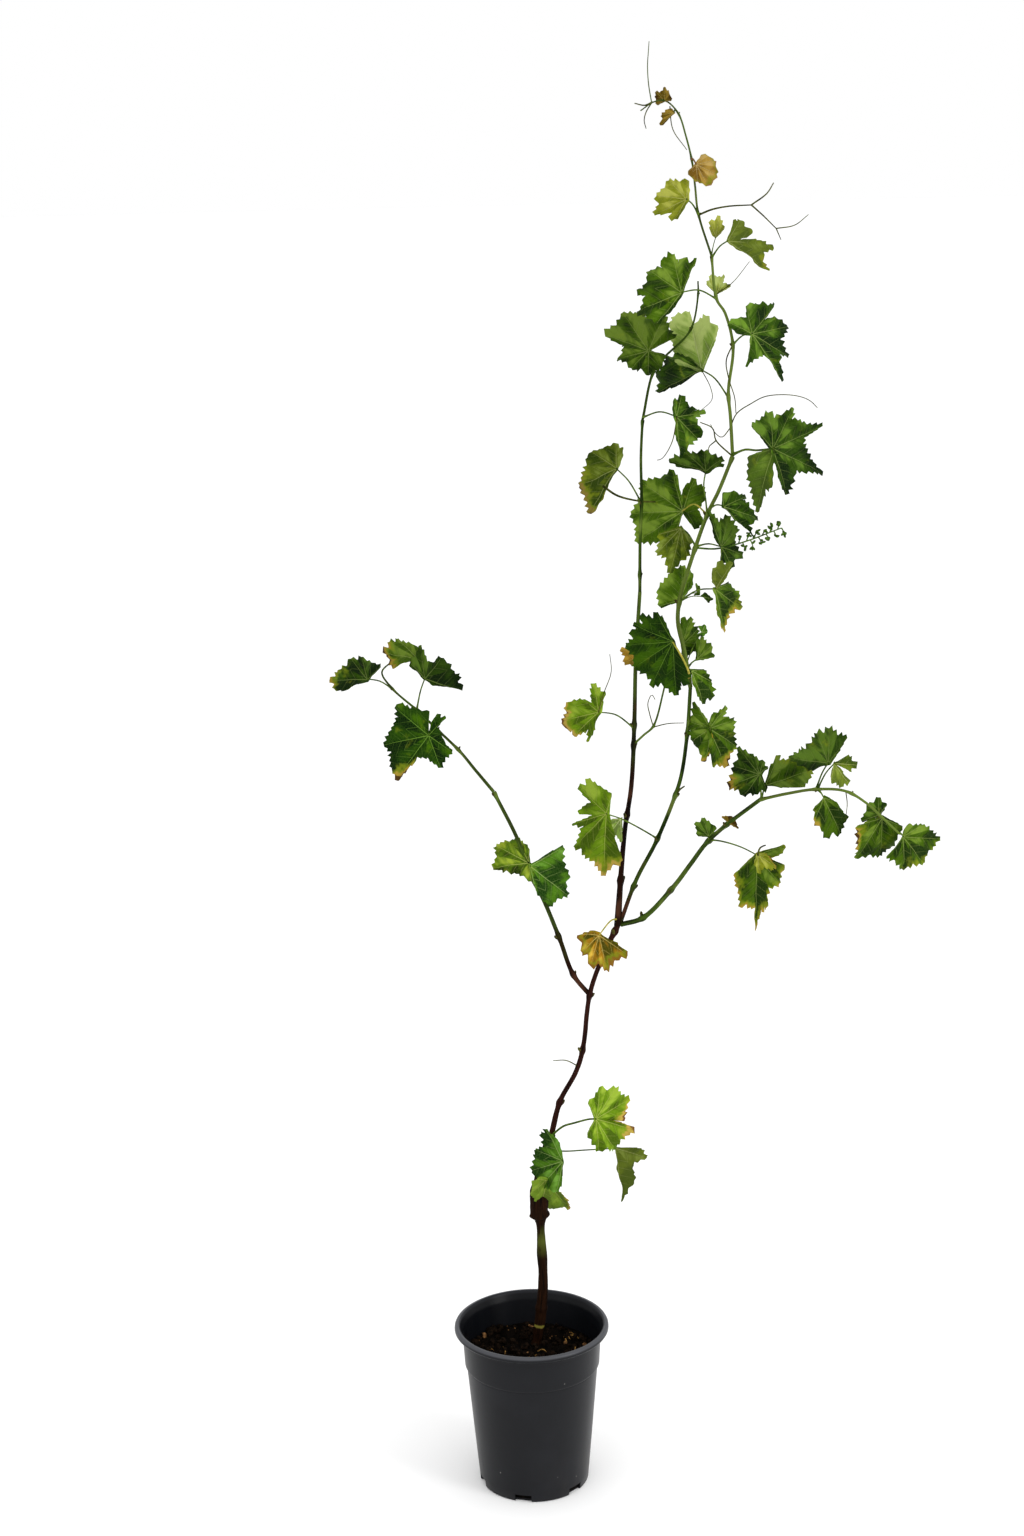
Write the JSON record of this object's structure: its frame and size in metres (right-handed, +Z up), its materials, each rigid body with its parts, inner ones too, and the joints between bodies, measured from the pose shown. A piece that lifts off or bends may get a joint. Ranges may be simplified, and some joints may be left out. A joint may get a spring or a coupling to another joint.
{
  "type": "potted grapevine",
  "caption": "A young grafted grapevine in a black nursery pot, with a short brown trunk, long green climbing shoots, toothed lobed leaves and curling tendrils.",
  "frame": {"origin": "centre of the pot's flat underside", "axes": "+Z up the plant, +X to the right as the picture shows it, -Y towards the viewer"},
  "size_m": [0.6253, 0.2897, 1.5412],
  "materials": {
    "pot": "satin black moulded plastic, slightly scuffed",
    "soil": "dark crumbly moist potting soil with tan fibres",
    "bark": "dark brown ridged bark",
    "green_shoot": "smooth ribbed green shoot with swollen nodes",
    "leaf_deep": "dark green veined leaf",
    "leaf_mid": "mid green veined leaf",
    "leaf_fresh": "bright green veined leaf",
    "leaf_pale": "pale felted underside of a leaf",
    "leaf_olive": "olive green leaf with brown edges",
    "leaf_golden": "yellow-green to golden leaf"
  },
  "bodies": {
    "root": {"pot": "pot", "soil": "soil", "rootstock": "bark", "graft_head": "bark", "brown_cane": "bark", "upper_cane": "green_shoot", "middle_shoot": "green_shoot", "middle_shoot_top": "green_shoot", "tall_shoot": "green_shoot", "tall_shoot_middle": "green_shoot", "tall_shoot_upper": "green_shoot", "tall_shoot_tip": "green_shoot", "arching_shoot": "green_shoot", "arching_shoot_end": "green_shoot", "left_shoot": "green_shoot", "left_shoot_end": "green_shoot", "side_shoot": "green_shoot", "top_tendril": "green_shoot", "foot_leaf_1": "leaf_deep", "foot_leaf_2": "leaf_olive", "foot_leaf_3": "leaf_fresh", "cane_leaf_1": "leaf_golden", "cane_leaf_2": "leaf_golden", "left_leaf_1": "leaf_pale", "left_leaf_2": "leaf_mid", "left_leaf_3": "leaf_deep", "left_leaf_4": "leaf_deep", "left_leaf_5": "leaf_deep", "arch_leaf_1": "leaf_mid", "arch_leaf_2": "leaf_mid", "arch_leaf_3": "leaf_deep", "arch_leaf_4": "leaf_mid", "arch_leaf_5": "leaf_olive", "arch_leaf_6": "leaf_mid", "arch_leaf_7": "leaf_deep", "arch_leaf_8": "leaf_mid", "arch_leaf_9": "leaf_fresh", "tall_leaf_1": "leaf_fresh", "tall_leaf_2": "leaf_mid", "tall_leaf_3": "leaf_deep", "tall_leaf_4": "leaf_mid", "tall_leaf_5": "leaf_mid", "tall_leaf_6": "leaf_mid", "tall_leaf_7": "leaf_fresh", "tall_leaf_8": "leaf_olive", "tall_leaf_9": "leaf_deep", "tall_leaf_10": "leaf_mid", "tall_leaf_11": "leaf_deep", "tall_leaf_12": "leaf_olive", "tall_leaf_13": "leaf_deep", "tall_leaf_14": "leaf_pale", "tall_leaf_15": "leaf_deep", "tall_leaf_16": "leaf_pale", "tall_leaf_17": "leaf_fresh", "tall_leaf_18": "leaf_fresh", "tall_leaf_19": "leaf_golden", "tall_leaf_20": "leaf_golden", "middle_leaf_1": "leaf_olive", "middle_leaf_2": "leaf_deep", "middle_leaf_3": "leaf_fresh"}
  },
  "joints": []
}
